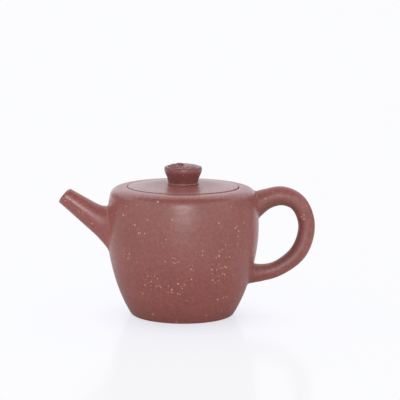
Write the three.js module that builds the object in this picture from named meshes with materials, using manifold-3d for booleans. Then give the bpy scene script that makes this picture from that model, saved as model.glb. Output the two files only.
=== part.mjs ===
// Yixing teapot with a straight spout, an ear handle and an inset lid.
// Millimetres, +Z up. The origin is the centre of the flat foot, and the spout points to -X.
import * as THREE from "three";
import { mergeVertices } from "three/addons/utils/BufferGeometryUtils.js";
import Module from "manifold-3d";

const wasm = await Module();
wasm.setup();

// Driving dimensions of the pot
const POT_HEIGHT = 68.2; // foot to the flat of the shoulder
const FOOT_RADIUS = 25.8; // circle that the pot stands on
const BELLY_RADIUS = 40.1;
const BELLY_HEIGHT = 46.4;
const SHOULDER_RADIUS = 38.86; // where the wall ends and the top slab begins
const SHOULDER_HEIGHT = 62.1;
const WALL = 3; // thickness of the beaten slab
const BASE_RADIUS = 23;
const BASE_THICKNESS = 3.6;
const MOUTH_RADIUS = 29.8;
const LEDGE_HEIGHT = 64.7; // the lid's seat
const SEAT_INNER = 24.6;
const SEAT_OUTER = 33;
const SEAT_THICKNESS = 3.1;
const LUTE = 0.3; // slip between the wall and a piece that is luted on it

// Driving dimensions of the lid
const LID_RADIUS = 29.45;
const LID_BOTTOM = LEDGE_HEIGHT + 0.15;
const LID_EDGE_HEIGHT = 68.4;
const LID_DOME_HEIGHT = 69.4;
const LID_UNDER_DOME = 66.9;
const FLANGE_OUTER = 24.15;
const FLANGE_INNER = 21.7;
const FLANGE_BOTTOM = 57.4;
const VENT_RADIUS = 0.7;

// Driving dimensions of the knob
const KNOB_RING_RADIUS = 8.3;
const KNOB_RING_HEIGHT = 1.0;
const KNOB_SPIGOT_RADIUS = 7.2; // the stem's end, inside the ring
const STEM_FOOT_RADIUS = 7.9;
const STEM_TOP_RADIUS = 8.65;
const STEM_TOP_HEIGHT = 73.7;
const CAP_RADIUS = 9.85;
const CAP_MIDDLE_HEIGHT = 77.2;
const CAP_RIM_HEIGHT = 78.9;
const DISH_RADIUS = 7.6;
const DISH_HEIGHT = 78.1;

// Driving dimensions of the spout, measured along its axis from the tip
const SPOUT_TIP = { x: -62.65, z: 63.98 };
const SPOUT_SLOPE = THREE.MathUtils.degToRad(36.2); // below level, from the tip to the wall
const TIP_TILT = THREE.MathUtils.degToRad(5); // how far off square the tip is cut
const TIP_TILT_FADE = 7;
const TIP_RADIUS = 4.62;
const TIP_WALL = 1.35;
const TAPER = 0.108; // radius gained per millimetre
const WALL_GAIN = 0.045; // wall gained per millimetre
const FLARE_START = 25;
const FLARE = 2.1; // extra radius at the root
const SPOUT_LENGTH = 40;
const WALL_HOLE_RADIUS = 6;
const DRILL_MIDDLE = 30; // the drill's middle lies where the spout's line meets the wall
const DRILL_LENGTH = 24;

// Driving dimensions of the strainer behind the spout
const DOME_RADIUS = 9.2;
const DOME_WALL = 1.7;
const DOME_CENTRE = { x: -34.6, z: 45.6 };
const DOME_COLLAR = 6; // straight part that reaches the wall
const DRAIN_RADIUS = 0.95;
const DRAIN_RINGS = [
  { holes: 1, fromAxis: 0 },
  { holes: 6, fromAxis: 30 },
  { holes: 11, fromAxis: 58 },
];

// The handle's centre line in the plane of the spout, and its radius there
const HANDLE_STATIONS = [
  { x: 33.1, z: 54.7, radius: 8.1 },
  { x: 37.9, z: 58.1, radius: 6.95 },
  { x: 45.25, z: 61.6, radius: 5.35 },
  { x: 53.1, z: 62.9, radius: 5.05 },
  { x: 61.3, z: 59.1, radius: 4.65 },
  { x: 66.15, z: 47.4, radius: 4.45 },
  { x: 62.3, z: 32.95, radius: 4.55 },
  { x: 51.1, z: 23.9, radius: 4.2 },
  { x: 42.2, z: 21.6, radius: 4.55 },
  { x: 32.3, z: 21.6, radius: 6.4 },
];

// The relief in the knob's dish: a broad petal, two low leaves, a stalk on the rim, and seeds
const PETAL = { x: 3.9, y: 0.1, z: 78.7, size: [4.2, 3.6, 1.9], turn: -11 };
const LEAF = { x: -4.9, y: 0.8, z: 78.3, size: [2.4, 3.5, 1.5], turn: 5 };
const BACK_LEAF = { x: -2.0, y: 3.5, z: 78.5, size: [2.7, 2.2, 1.8], turn: 10 };
const STALK = { x: -0.4, y: -6.9, z: 78.4, size: [1.4, 1.9, 1.0], turn: 0 };
const SEED_BED = { x: -2.4, y: -0.6, z: 78.3, size: [2.5, 3.4, 1.4], turn: 0 };
const SEED_RADIUS = 0.75;
const SEED_SPREAD = 1.35;
const SEED_TURNS = 2.4; // radians from one seed to the next, like the eye of a flower
const SEEDS = 9;
const PAD_THICKNESS = 0.5;
const PAD_GAP = 0.05;

// Fineness of the round shapes
const POT_SIDES = 56;
const KNOB_SIDES = 36;
const SPOUT_SIDES = 26;
const HANDLE_SIDES = 16;
const HANDLE_STEPS = 34;
const DOME_SIDES = 24;
const DRAIN_SIDES = 8;
const RELIEF_SIDES = 14;
const SEED_SIDES = 6;

const point = (x, y) => new THREE.Vector2(x, y);

// Solids for joining and cutting

function solidOf(geometry) {
  const bare = geometry.clone();
  bare.deleteAttribute("normal");
  bare.deleteAttribute("uv");
  const merged = mergeVertices(bare, 1e-4);
  return new wasm.Manifold(
    new wasm.Mesh({
      numProp: 3,
      vertProperties: new Float32Array(merged.getAttribute("position").array),
      triVerts: new Uint32Array(merged.index.array),
    }),
  );
}

function geometryOf(solid) {
  const made = solid.getMesh();
  const geometry = new THREE.BufferGeometry();
  geometry.setAttribute("position", new THREE.BufferAttribute(made.vertProperties, 3));
  geometry.setIndex(new THREE.BufferAttribute(made.triVerts, 1));
  geometry.computeVertexNormals();
  return geometry;
}

// Turns an outline of (radius, height) points, listed upwards on its outer side, about +Z.
function turned(outline, sides) {
  const first = outline[0];
  const onAxis = first.x === 0 && outline.at(-1).x === 0;
  const points = onAxis ? outline : [...outline, first.clone()];
  return new THREE.LatheGeometry(points, sides).rotateX(Math.PI / 2);
}

// Moves an outline outwards by a distance along its own normals.
function offset(outline, distance) {
  return outline.map((here, i) => {
    const before = outline[Math.max(i - 1, 0)];
    const after = outline[Math.min(i + 1, outline.length - 1)];
    const along = after.clone().sub(before).normalize();
    return point(here.x + along.y * distance, here.y - along.x * distance);
  });
}

// Outer face of the pot, foot to belly to shoulder

const wallFoot = point(27.84, 1.3);
const wallTop = point(SHOULDER_RADIUS, SHOULDER_HEIGHT);
const belly = point(BELLY_RADIUS, BELLY_HEIGHT);
const lowerWall = new THREE.CubicBezierCurve(
  wallFoot,
  point(35.2, 13.7),
  point(BELLY_RADIUS, 32.1),
  belly,
).getPoints(9);
const upperWall = new THREE.CubicBezierCurve(
  belly,
  point(BELLY_RADIUS, 51.6),
  point(39.87, 57.2),
  wallTop,
).getPoints(4);
const shoulder = new THREE.CubicBezierCurve(
  wallTop,
  point(38.37, 64.5),
  point(38.25, POT_HEIGHT),
  point(MOUTH_RADIUS + 0.4, POT_HEIGHT),
).getPoints(8);
const wallFace = [
  point(FOOT_RADIUS, 0),
  point(27.1, 0.4),
  ...lowerWall,
  ...upperWall.slice(1),
];

// The pot's outside as one solid, swollen a little, for trimming what is luted on it.
function potOutside(swelling) {
  const face = offset([...wallFace, ...shoulder.slice(1)], swelling);
  const outline = [point(0, -5), point(face[0].x, -5), ...face, point(0, face.at(-1).y)];
  return solidOf(turned(outline, POT_SIDES));
}

// Inner face of the wall, from the base to the top slab.
function wallInside(clearance) {
  const face = offset([...lowerWall, ...upperWall.slice(1)], -WALL - clearance);
  const low = BASE_THICKNESS + 1;
  const high = SHOULDER_HEIGHT - 1;
  return face.filter((p) => p.y > low && p.y < high);
}

function bodyWall() {
  const outline = [
    point(BASE_RADIUS, 0),
    ...wallFace,
    point(SHOULDER_RADIUS - WALL, SHOULDER_HEIGHT),
    ...wallInside(0).reverse(),
    point(25.6, BASE_THICKNESS),
    point(BASE_RADIUS, BASE_THICKNESS),
  ];
  const hole = WALL_HOLE_RADIUS;
  const drill = new THREE.CylinderGeometry(hole, hole, DRILL_LENGTH, SPOUT_SIDES);
  alongSpout(drill, DRILL_MIDDLE);
  const wall = solidOf(turned(outline, POT_SIDES));
  return geometryOf(wall.subtract(solidOf(drill)));
}

// Lays a shape made upright about +Y on the spout's line, its origin at a distance from the tip.
function alongSpout(geometry, distance) {
  geometry.rotateZ(-SPOUT_SLOPE - Math.PI / 2);
  geometry.rotateX(Math.PI / 2);
  return geometry.translate(
    SPOUT_TIP.x + distance * Math.cos(SPOUT_SLOPE),
    0,
    SPOUT_TIP.z - distance * Math.sin(SPOUT_SLOPE),
  );
}

function baseDisc() {
  const outline = [
    point(0, 0),
    point(BASE_RADIUS, 0),
    point(BASE_RADIUS, BASE_THICKNESS),
    point(0, BASE_THICKNESS),
  ];
  return turned(outline, POT_SIDES);
}

function shoulderPlate() {
  const outline = [
    ...shoulder,
    point(MOUTH_RADIUS, POT_HEIGHT - 0.35),
    point(MOUTH_RADIUS, LEDGE_HEIGHT),
    point(SEAT_OUTER + 0.8, LEDGE_HEIGHT),
    point(35.3, 63.9),
    point(SHOULDER_RADIUS - WALL, SHOULDER_HEIGHT),
  ];
  return turned(outline, POT_SIDES);
}

function lidSeatRing() {
  const bottom = LEDGE_HEIGHT - SEAT_THICKNESS;
  const bevel = 0.8;
  const outline = [
    point(SEAT_INNER + bevel, bottom),
    point(SEAT_OUTER - bevel, bottom),
    point(SEAT_OUTER, LEDGE_HEIGHT),
    point(SEAT_INNER + 0.3, LEDGE_HEIGHT),
    point(SEAT_INNER, LEDGE_HEIGHT - 0.3),
    point(SEAT_INNER, bottom + bevel),
  ];
  return turned(outline, POT_SIDES);
}

function spout() {
  const outside = (s) => {
    const flare = Math.max(s - FLARE_START, 0) / (SPOUT_LENGTH - FLARE_START);
    return TIP_RADIUS + TAPER * s + FLARE * flare ** 1.5;
  };
  const bore = (s) => TIP_RADIUS - TIP_WALL + (TAPER - WALL_GAIN) * s;
  const stations = [1.1, 7, 13, 19, 25, 28, 31, 34, 37, SPOUT_LENGTH];
  const outline = [
    point(bore(0) + 0.1, 0.25),
    point(TIP_RADIUS - TIP_WALL / 2, 0),
    point(TIP_RADIUS - 0.2, 0.35),
    ...stations.map((s) => point(outside(s), s)),
    ...[SPOUT_LENGTH, 19, 1].map((s) => point(bore(s), s)),
  ];
  const cone = new THREE.LatheGeometry([...outline, outline[0].clone()], SPOUT_SIDES);
  leanTip(cone);
  return geometryOf(solidOf(alongSpout(cone, 0)).subtract(potOutside(LUTE)));
}

// Leans the rings at the tip so that the mouth faces a little upwards.
function leanTip(cone) {
  const place = cone.getAttribute("position");
  for (let i = 0; i < place.count; i += 1) {
    const share = Math.max(1 - place.getY(i) / TIP_TILT_FADE, 0);
    place.setY(i, place.getY(i) - place.getX(i) * Math.tan(TIP_TILT) * share);
  }
}

// A half ball on a collar, hollow and pierced, trimmed to the inside of the wall.
function strainerDome() {
  const arc = (radius, steps) => {
    const ball = new THREE.EllipseCurve(0, 0, radius, radius, 0, Math.PI / 2);
    return ball.getPoints(steps);
  };
  const innerRadius = DOME_RADIUS - DOME_WALL;
  const shell = new THREE.LatheGeometry(
    [
      point(innerRadius, -DOME_COLLAR),
      point(DOME_RADIUS, -DOME_COLLAR),
      ...onAxis(arc(DOME_RADIUS, 7)),
      ...onAxis(arc(innerRadius, 6)).reverse(),
      point(innerRadius, -DOME_COLLAR),
    ],
    DOME_SIDES,
  );
  let dome = solidOf(shell);
  for (const ring of DRAIN_RINGS) {
    for (let k = 0; k < ring.holes; k += 1) {
      dome = dome.subtract(drain(ring.fromAxis, (360 * k) / ring.holes));
    }
  }
  const laid = geometryOf(dome).rotateZ(-Math.PI / 2).translate(DOME_CENTRE.x, 0, DOME_CENTRE.z);
  const face = wallInside(LUTE);
  const room = turned([point(0, face[0].y), ...face, point(0, face.at(-1).y)], POT_SIDES);
  return geometryOf(solidOf(laid).intersect(solidOf(room)));
}

// Snaps the last point of an arc to the axis.
function onAxis(points) {
  points.at(-1).x = 0;
  return points;
}

// One small hole through the dome, at an angle from its axis and round it.
function drain(fromAxis, round) {
  const length = 2 * DOME_WALL + 2;
  const hole = new THREE.CylinderGeometry(DRAIN_RADIUS, DRAIN_RADIUS, length, DRAIN_SIDES);
  hole.translate(0, DOME_RADIUS - DOME_WALL / 2, 0);
  hole.rotateZ(THREE.MathUtils.degToRad(fromAxis));
  hole.rotateY(THREE.MathUtils.degToRad(round));
  return solidOf(hole);
}

// A round bar bent along the handle's centre line, its radius changing on the way.
function handle() {
  const stations = HANDLE_STATIONS.map((s) => new THREE.Vector3(s.x, 0, s.z));
  const radii = HANDLE_STATIONS.map((s, i) => new THREE.Vector3(i, s.radius, 0));
  const line = new THREE.CatmullRomCurve3(stations);
  const thickness = new THREE.CatmullRomCurve3(radii);
  const bar = new THREE.CylinderGeometry(1, 1, 1, HANDLE_SIDES, HANDLE_STEPS);
  const place = bar.getAttribute("position");
  const sideways = new THREE.Vector3(0, 1, 0);
  for (let i = 0; i < place.count; i += 1) {
    const t = 0.5 - place.getY(i);
    const radius = thickness.getPoint(t).y;
    const across = new THREE.Vector3().crossVectors(sideways, line.getTangent(t));
    const moved = line.getPoint(t);
    moved.addScaledVector(across, place.getX(i) * radius);
    moved.addScaledVector(sideways, place.getZ(i) * radius);
    place.setXYZ(i, moved.x, moved.y, moved.z);
  }
  return geometryOf(solidOf(bar).subtract(potOutside(LUTE)));
}

// Lid

function lidDisc() {
  const dome = new THREE.CubicBezierCurve(
    point(LID_RADIUS - 0.4, LID_EDGE_HEIGHT),
    point(24, LID_EDGE_HEIGHT + 0.9),
    point(15, LID_DOME_HEIGHT),
    point(KNOB_RING_RADIUS, LID_DOME_HEIGHT),
  ).getPoints(6);
  const outline = [
    point(LID_RADIUS, LID_BOTTOM),
    point(LID_RADIUS, LID_EDGE_HEIGHT - 0.4),
    ...dome,
    point(VENT_RADIUS, LID_DOME_HEIGHT),
    point(VENT_RADIUS, LID_UNDER_DOME),
    point(10, LID_UNDER_DOME - 0.3),
    point(17, LID_UNDER_DOME - 1.1),
    point(FLANGE_INNER, LID_BOTTOM),
  ];
  return turned(outline, POT_SIDES);
}

function lidFlange() {
  const bevel = 0.5;
  const outline = [
    point(FLANGE_OUTER - bevel, FLANGE_BOTTOM),
    point(FLANGE_OUTER, FLANGE_BOTTOM + bevel),
    point(FLANGE_OUTER, LID_BOTTOM),
    point(FLANGE_INNER, LID_BOTTOM),
    point(FLANGE_INNER, FLANGE_BOTTOM + bevel),
    point(FLANGE_INNER + bevel, FLANGE_BOTTOM),
  ];
  return turned(outline, POT_SIDES);
}

function knobFootRing() {
  const top = LID_DOME_HEIGHT + KNOB_RING_HEIGHT;
  const outline = [
    point(KNOB_RING_RADIUS, LID_DOME_HEIGHT),
    point(KNOB_RING_RADIUS, top - 0.3),
    point(KNOB_RING_RADIUS - 0.3, top),
    point(KNOB_SPIGOT_RADIUS, top),
    point(KNOB_SPIGOT_RADIUS, LID_DOME_HEIGHT),
  ];
  return turned(outline, KNOB_SIDES);
}

function knobOutline() {
  const rim = new THREE.CubicBezierCurve(
    point(CAP_RADIUS, CAP_MIDDLE_HEIGHT),
    point(CAP_RADIUS, CAP_RIM_HEIGHT - 0.5),
    point(CAP_RADIUS - 0.6, CAP_RIM_HEIGHT),
    point(CAP_RADIUS - 1.1, CAP_RIM_HEIGHT),
  ).getPoints(4);
  return [
    point(KNOB_SPIGOT_RADIUS, LID_DOME_HEIGHT),
    point(KNOB_SPIGOT_RADIUS, LID_DOME_HEIGHT + KNOB_RING_HEIGHT),
    point(STEM_FOOT_RADIUS, LID_DOME_HEIGHT + KNOB_RING_HEIGHT),
    point(STEM_TOP_RADIUS, STEM_TOP_HEIGHT),
    point(9.4, 75.4),
    ...rim,
    point(DISH_RADIUS, DISH_HEIGHT),
    point(VENT_RADIUS, DISH_HEIGHT),
    point(VENT_RADIUS, LID_DOME_HEIGHT),
  ];
}

function knob() {
  return turned(knobOutline(), KNOB_SIDES);
}

// The relief is a thin pad with mounds on it, cut to lie on the cap, clear of the vent.
function knobRelief() {
  const mound = (shape) => {
    const ball = new THREE.SphereGeometry(1, RELIEF_SIDES, RELIEF_SIDES / 2);
    ball.rotateX(Math.PI / 2).scale(...shape.size);
    ball.rotateZ(THREE.MathUtils.degToRad(shape.turn));
    return solidOf(ball.translate(shape.x, shape.y, shape.z));
  };
  const padRadius = DISH_RADIUS - 0.3;
  const pad = new THREE.CylinderGeometry(padRadius, padRadius, PAD_THICKNESS, KNOB_SIDES);
  pad.rotateX(Math.PI / 2).translate(0, 0, DISH_HEIGHT + PAD_THICKNESS / 2);
  let relief = solidOf(pad);
  for (const shape of [SEED_BED, PETAL, LEAF, BACK_LEAF, STALK]) {
    relief = relief.add(mound(shape));
  }
  for (let k = 0; k < SEEDS; k += 1) {
    const reach = SEED_SPREAD * Math.sqrt(k / 2);
    const x = SEED_BED.x + reach * Math.cos(k * SEED_TURNS);
    const y = SEED_BED.y + reach * Math.sin(k * SEED_TURNS);
    const seed = new THREE.SphereGeometry(SEED_RADIUS, SEED_SIDES, SEED_SIDES / 2);
    seed.translate(x, y, SEED_BED.z + SEED_BED.size[2] - 0.25 * reach);
    relief = relief.add(solidOf(seed));
  }
  const vent = new THREE.CylinderGeometry(VENT_RADIUS, VENT_RADIUS, 20, KNOB_SIDES);
  vent.rotateX(Math.PI / 2).translate(0, 0, DISH_HEIGHT);
  const capFace = offset(knobOutline().slice(3, -2), PAD_GAP);
  const capLow = point(0, capFace[0].y);
  const capTop = point(0, DISH_HEIGHT + PAD_GAP);
  const cap = turned([capLow, ...capFace, point(DISH_RADIUS, capTop.y), capTop], KNOB_SIDES);
  return geometryOf(relief.subtract(solidOf(vent)).subtract(solidOf(cap)));
}

// Assembly: the lid is its own group because it lifts off

const BODY_CLAY = 0x975750;
const LID_CLAY = 0x93554f;
const KNOB_CLAY = 0x894d49;
const SATIN = 0.5; // roughness of the rubbed outer faces
const DRY = 0.8; // roughness inside and underneath

const teapot = new THREE.Group();
teapot.name = "teapot";
const pot = new THREE.Group();
pot.name = "pot";
const lid = new THREE.Group();
lid.name = "lid";
teapot.add(pot, lid);

function add(parent, name, geometry, color, roughness) {
  const clay = new THREE.MeshStandardMaterial({ color, roughness, metalness: 0 });
  const mesh = new THREE.Mesh(geometry, clay);
  mesh.name = name;
  parent.add(mesh);
}

add(pot, "body_wall", bodyWall(), BODY_CLAY, SATIN);
add(pot, "base_disc", baseDisc(), BODY_CLAY, DRY);
add(pot, "shoulder_plate", shoulderPlate(), BODY_CLAY, SATIN);
add(pot, "lid_seat_ring", lidSeatRing(), BODY_CLAY, DRY);
add(pot, "strainer_dome", strainerDome(), BODY_CLAY, DRY);
add(pot, "spout", spout(), BODY_CLAY, SATIN);
add(pot, "handle", handle(), BODY_CLAY, SATIN);
add(lid, "lid_disc", lidDisc(), LID_CLAY, SATIN);
add(lid, "lid_flange", lidFlange(), LID_CLAY, DRY);
add(lid, "knob_foot_ring", knobFootRing(), LID_CLAY, SATIN);
add(lid, "knob", knob(), KNOB_CLAY, SATIN);
add(lid, "knob_relief", knobRelief(), KNOB_CLAY, DRY);

export default teapot;
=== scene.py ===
import math

import bpy
import numpy as np
from mathutils import Euler, Matrix, Vector

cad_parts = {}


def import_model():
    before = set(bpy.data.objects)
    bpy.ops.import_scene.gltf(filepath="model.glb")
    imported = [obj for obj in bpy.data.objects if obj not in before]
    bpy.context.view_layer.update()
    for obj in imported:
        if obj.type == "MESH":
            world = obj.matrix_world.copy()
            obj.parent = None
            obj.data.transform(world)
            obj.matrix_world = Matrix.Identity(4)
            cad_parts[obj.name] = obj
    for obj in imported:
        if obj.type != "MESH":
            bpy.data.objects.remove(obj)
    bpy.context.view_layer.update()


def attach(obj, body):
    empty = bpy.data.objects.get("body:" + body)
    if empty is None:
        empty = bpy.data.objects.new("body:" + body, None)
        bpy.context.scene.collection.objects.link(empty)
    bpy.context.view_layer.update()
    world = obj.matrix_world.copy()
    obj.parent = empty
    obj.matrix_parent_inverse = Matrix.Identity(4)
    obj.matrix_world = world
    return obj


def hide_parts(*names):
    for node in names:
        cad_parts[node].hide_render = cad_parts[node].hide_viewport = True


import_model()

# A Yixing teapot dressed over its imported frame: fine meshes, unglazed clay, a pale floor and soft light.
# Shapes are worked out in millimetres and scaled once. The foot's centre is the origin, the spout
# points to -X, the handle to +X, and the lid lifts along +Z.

MM = 0.001

# Pot, as in the solids but for the mouth
POT_HEIGHT = 68.2
FOOT_RADIUS = 25.8
WALL_FOOT = (27.84, 1.3)
BELLY_RADIUS = 40.1
BELLY_HEIGHT = 46.4
SHOULDER_RADIUS = 38.86
SHOULDER_HEIGHT = 62.1
WALL = 3.0
BASE_RADIUS = 23.0
BASE_THICKNESS = 3.6
MOUTH_RADIUS = 29.5  # 0.3 less than in the solids, so that the lid's seam is fine
LEDGE_HEIGHT = 64.7
SEAT_INNER = 24.6
SEAT_OUTER = 33.0
SEAT_THICKNESS = 3.1

# Lid, as in the solids but for its edge
LID_RADIUS = 29.28  # 0.17 less than in the solids
LID_BOTTOM = LEDGE_HEIGHT + 0.15
LID_EDGE_HEIGHT = 68.4
LID_DOME_HEIGHT = 69.4
LID_UNDER_DOME = 66.9
FLANGE_OUTER = 24.15
FLANGE_INNER = 21.7
FLANGE_BOTTOM = 57.4
VENT_RADIUS = 0.7

# Knob, as in the solids
KNOB_RING_RADIUS = 8.3
KNOB_RING_HEIGHT = 1.0
KNOB_SPIGOT_RADIUS = 7.2
STEM_FOOT_RADIUS = 7.9
STEM_TOP_RADIUS = 8.65
STEM_TOP_HEIGHT = 73.7
CAP_RADIUS = 9.85
CAP_MIDDLE_HEIGHT = 77.2
CAP_RIM_HEIGHT = 78.9
DISH_RADIUS = 7.6
DISH_HEIGHT = 78.1

# Spout, as in the solids, measured along its axis from the tip
SPOUT_TIP = np.array([-62.65, 0.0, 63.98])
SPOUT_SLOPE = math.radians(36.2)
SPOUT_AHEAD = np.array([math.cos(SPOUT_SLOPE), 0, -math.sin(SPOUT_SLOPE)])  # from the tip into the pot
SPOUT_UP = np.array([math.sin(SPOUT_SLOPE), 0, math.cos(SPOUT_SLOPE)])
TIP_TILT = math.radians(5)
TIP_TILT_FADE = 7.0
TIP_RADIUS = 4.62
TIP_WALL = 1.35
TAPER = 0.108
WALL_GAIN = 0.045
FLARE_START = 25.0
FLARE = 2.1
SPOUT_LENGTH = 40.0
SPOUT_LINE = 46.0  # how far its lines are drawn, past the wall
WALL_HOLE_RADIUS = 6.0
WALL_HOLE_REACH = (18.0, 42.0)  # where the hole's drill starts and ends, from the tip

# Strainer behind the spout, as in the solids
DOME_RADIUS = 9.2
DOME_WALL = 1.7
DOME_CENTRE = np.array([-34.6, 0.0, 45.6])
DRAIN_RADIUS = 0.95
DRAIN_RINGS = [(1, 0), (6, 30), (11, 58)]  # holes in a ring, and its angle from the dome's axis

# The handle's centre line in the plane of the spout, and its radius there: x, z, radius
HANDLE_STATIONS = np.array(
    [
        (33.1, 54.7, 8.1),
        (37.9, 58.1, 6.95),
        (45.25, 61.6, 5.35),
        (53.1, 62.9, 5.05),
        (61.3, 59.1, 4.65),
        (66.15, 47.4, 4.45),
        (62.3, 32.95, 4.55),
        (51.1, 23.9, 4.2),
        (42.2, 21.6, 4.55),
        (32.3, 21.6, 6.4),
    ]
)

# How the clay of the spout, handle and strainer runs into the wall
BURIED = 0.5  # how deep a luted end sits in the wall
SKIN = 0.03  # how far a fillet's edge dips under the surface it runs out on
SPOUT_REACH = (9.0, 3.2)  # length of the fillet along the spout, above and below
SPOUT_SPREAD = (3.3, 2.0)  # and along the wall
HANDLE_REACH = (1.9, 1.1)
HANDLE_SPREAD = (1.3, 1.0)
STRAINER_REACH = 1.6
STRAINER_SPREAD = 1.2

# Fineness: how many sides a round piece has, and how many steps its curves take
POT_SIDES = 256
SPOUT_SIDES = 96
STRAINER_SIDES = 96
HANDLE_SIDES = 80
KNOB_SIDES = 160
MOUND_SIDES = 28
SEED_SIDES = 16
VENT_SIDES = 32
DRAIN_SIDES = 20
SPOUT_STEPS = 90
SPOUT_RINGS = 44
BORE_RINGS = 30
DOME_RINGS = 26
HANDLE_STEPS = 30
HANDLE_RINGS = 70
ROUNDING_STEPS = 5
FILLET_RINGS = 9
CLOSING_RINGS = 4
CREASE = 38  # degrees between two faces from which they meet in an edge
SOFT_CREASE = 50  # the same for spout and handle

# Camera: it looks down a little on the middle of the pot, from the front
CAMERA_DISTANCE = 900.0
CAMERA_AIM = (8.965, 0.0, 61.0)
CAMERA_ELEVATION = math.radians(8.709)
CAMERA_ROLL = math.radians(0.468)
CAMERA_LENS = 153.4
CAMERA_SENSOR = 36
CAMERA_CLIP = (0.05, 50)  # metres
STUDIO_TURN = math.radians(5)  # camera, lamp and walls are turned this far towards the spout


# Outlines


def bezier(corners, steps):
    """A Bezier curve of three or four corner points."""
    p = [np.array(c, float) for c in corners]
    t = np.linspace(0, 1, steps + 1)[:, None]
    if len(p) == 3:
        return (1 - t) ** 2 * p[0] + 2 * (1 - t) * t * p[1] + t**2 * p[2]
    return (1 - t) ** 3 * p[0] + 3 * (1 - t) ** 2 * t * p[1] + 3 * (1 - t) * t**2 * p[2] + t**3 * p[3]


def rounded(corners):
    """A closed outline of (radius, height, rounding) corners, each rounded over that length."""
    corners = np.array(corners, float)
    made = []
    for i, (r, z, rounding) in enumerate(corners):
        here = np.array([r, z])
        if rounding == 0:
            made.append(here[None])
            continue
        back = corners[i - 1, :2] - here
        ahead = corners[(i + 1) % len(corners), :2] - here
        start = here + back / np.linalg.norm(back) * rounding
        end = here + ahead / np.linalg.norm(ahead) * rounding
        made.append(bezier([start, here, end], ROUNDING_STEPS))
    return np.concatenate(made)


def inward(outline, distance):
    """An outline moved towards the clay along its own normals."""
    along = np.gradient(outline, axis=0)
    along /= np.linalg.norm(along, axis=1)[:, None]
    return outline - distance * np.stack([along[:, 1], -along[:, 0]], 1)


BELLY = (BELLY_RADIUS, BELLY_HEIGHT)
WALL_TOP = (SHOULDER_RADIUS, SHOULDER_HEIGHT)
FOOT = bezier([(FOOT_RADIUS, 0), (26.9, 0), (27.45, 0.65), WALL_FOOT], 8)
LOWER_WALL = bezier([WALL_FOOT, (35.2, 13.7), (BELLY_RADIUS, 32.1), BELLY], 56)
UPPER_WALL = bezier([BELLY, (BELLY_RADIUS, 51.6), (39.87, 57.2), WALL_TOP], 20)
SHOULDER = bezier([WALL_TOP, (38.37, 64.5), (38.25, POT_HEIGHT), (MOUTH_RADIUS + 1.4, POT_HEIGHT)], 48)
OUTSIDE = np.concatenate([FOOT, LOWER_WALL[1:], UPPER_WALL[1:], SHOULDER[1:]])
inner_face = inward(np.concatenate([LOWER_WALL, UPPER_WALL[1:]]), WALL)
inner_heights = inner_face[:, 1]
INSIDE = inner_face[(inner_heights > BASE_THICKNESS + 1) & (inner_heights < SHOULDER_HEIGHT - 0.2)]


# Meshes


def angles(sides):
    return np.linspace(0, 2 * math.pi, sides, endpoint=False)


def rings_of(outline, sides):
    """The rings that an outline makes when it is turned about +Z; a point on the axis is one vertex."""
    turn = angles(sides)
    rings = []
    for r, z in outline:
        if r < 1e-6:
            rings.append(np.array([[0.0, 0.0, z]]))
            continue
        rings.append(np.stack([r * np.cos(turn), r * np.sin(turn), np.full(sides, z)], 1))
    return rings


def skin(rings, closed):
    """Vertices and faces of a surface over rings, each of the same count or one point."""
    starts = np.cumsum([0] + [len(ring) for ring in rings])
    faces = []
    pairs = len(rings) if closed else len(rings) - 1
    for k in range(pairs):
        low, high = rings[k], rings[(k + 1) % len(rings)]
        a, b = starts[k], starts[(k + 1) % len(rings)]
        count = max(len(low), len(high))
        for i in range(count):
            j = (i + 1) % count
            if len(low) == 1:
                faces.append((a, b + j, b + i))
            elif len(high) == 1:
                faces.append((a + i, a + j, b))
            else:
                faces.append((a + i, a + j, b + j, b + i))
    return np.concatenate(rings), faces


def rod(rings):
    """A closed shape over two rings, with a point in the middle of each end."""
    return skin([rings[0].mean(0)[None], *rings, rings[1].mean(0)[None]], closed=False)


def together(shapes):
    """The vertices and faces of several shapes as one."""
    starts = np.cumsum([0] + [len(vertices) for vertices, _ in shapes])
    made = []
    for start, (_, faces) in zip(starts, shapes):
        made += [[start + i for i in face] for face in faces]
    return np.concatenate([vertices for vertices, _ in shapes]), made


# How far the wall swells, how often around, from where, and over what height that twists by a radian
SWELLS = ((0.045, 2, 0.6, 31), (0.035, 3, -1.1, -23))
SWELL_REACH = 20  # it comes up over this way from the axis
SWELL_RISE = 6  # and over this height from the foot


def by_hand(points):
    """The slight unevenness of a pot that was beaten and pared by hand, the same for all its pieces."""
    x, y, z = points.T
    turn = np.arctan2(y, x)
    away = np.hypot(x, y)
    swell = 0.022 * np.sin(5 * turn + z / 9) * np.cos(z / 7 + 0.4)
    for size, count, start, twist in SWELLS:
        swell += size * np.sin(count * turn + start + z / twist)
    swell *= np.clip(away / SWELL_REACH, 0, 1) * np.clip(z / SWELL_RISE, 0, 1)
    out = np.stack([np.cos(turn), np.sin(turn), np.zeros(len(x))], 1)
    return points + out * swell[:, None]


def mesh_of(name, vertices, faces, crease=CREASE):
    """A smooth mesh in metres, with creases where its faces meet at more than an angle."""
    mesh = bpy.data.meshes.new(name)
    mesh.from_pydata((np.asarray(vertices) * MM).tolist(), [], faces)
    mesh.update()
    mesh.shade_smooth()
    mesh.set_sharp_from_angle(angle=math.radians(crease))
    return mesh


def stand(name, data):
    """A new object in the scene."""
    made = bpy.data.objects.new(name, data)
    bpy.context.scene.collection.objects.link(made)
    return made


def applied(worked):
    """The mesh of an object with its modifiers. The object leaves the scene."""
    bpy.context.view_layer.update()
    made = bpy.data.meshes.new_from_object(worked.evaluated_get(bpy.context.evaluated_depsgraph_get()))
    bpy.data.objects.remove(worked)
    return made


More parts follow.
